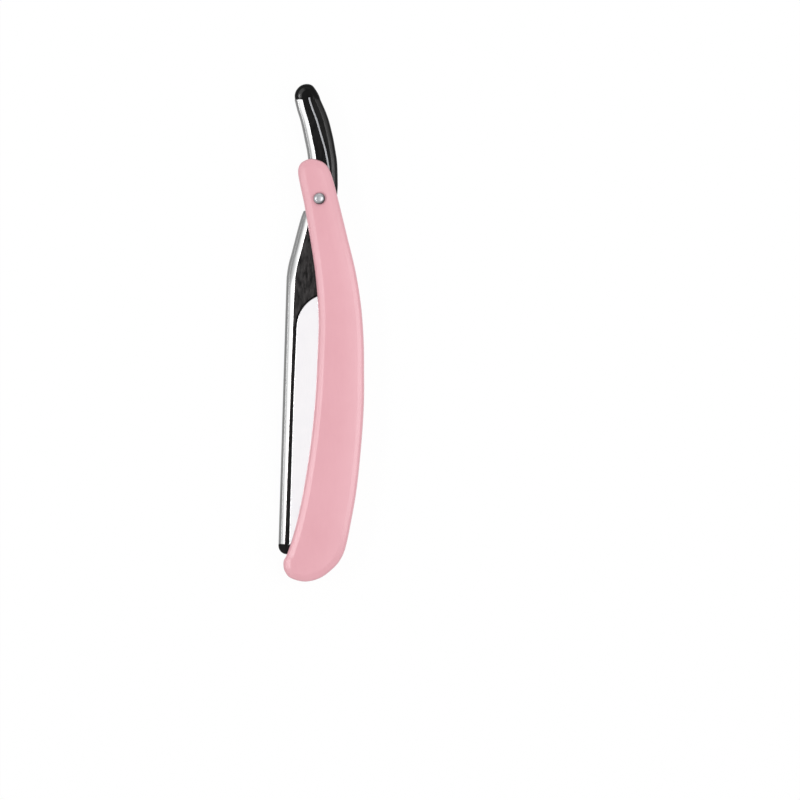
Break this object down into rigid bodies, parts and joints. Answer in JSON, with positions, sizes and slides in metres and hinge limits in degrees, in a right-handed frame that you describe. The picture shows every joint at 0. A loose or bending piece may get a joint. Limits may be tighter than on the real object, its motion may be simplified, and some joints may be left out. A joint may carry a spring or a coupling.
{
  "type": "folding razor",
  "caption": "Folding barber's razor with a holder for a changeable long blade, closed in its two-scale plastic handle.",
  "frame": {"origin": "middle of the closed razor's box in X and Y, on the rear scale's flat outer face", "axes": "+Y along the razor to the tail's end, +X to the convex back of the handle, +Z out of the front scale"},
  "size_m": [0.0248, 0.1444, 0.011],
  "materials": {
    "pink_plastic": "satin",
    "black_plastic": "semi-gloss",
    "polished_steel": "polished",
    "plate_steel": "bright polished",
    "ground_steel": "ground",
    "blade_steel": "ground, with a honed edge",
    "brass": "turned",
    "nylon": "moulded"
  },
  "bodies": {
    "handle": {"rear_scale": "pink_plastic", "front_scale": "pink_plastic", "end_spacer": "pink_plastic", "scale_dowel_1": "ground_steel", "scale_dowel_2": "ground_steel", "pivot_rivet": "polished_steel", "rivet_burr": "ground_steel", "front_washer": "nylon", "rear_washer": "nylon"},
    "blade_arm": {"tang_body": "black_plastic", "pivot_bush": "brass", "tail_strip": "polished_steel", "spine_strip": "polished_steel", "tail_trim": "ground_steel", "finger_rest": "black_plastic", "tail_cap": "black_plastic", "bed_plate": "plate_steel", "bed_rivet_1": "ground_steel", "bed_rivet_2": "ground_steel", "bed_rivet_3": "ground_steel", "blade_stud_1": "ground_steel", "blade_stud_2": "ground_steel", "razor_blade": "blade_steel", "end_tip": "black_plastic", "clamp_pin": "ground_steel"},
    "clamp": {"clamp_plate": "plate_steel", "clamp_bush": "brass"}
  },
  "joints": [
    {"name": "fold", "type": "hinge", "parent": "handle", "child": "blade_arm", "pos_m": [-0.00049, 0.0387, 0.0049], "axis": [0, 0, -1], "range_deg": [0, 330]},
    {"name": "clamp_swing", "type": "hinge", "parent": "blade_arm", "child": "clamp", "pos_m": [0.00098, 0.00757, 0.0049], "axis": [0, 0, 1], "range_deg": [0, 60]}
  ]
}
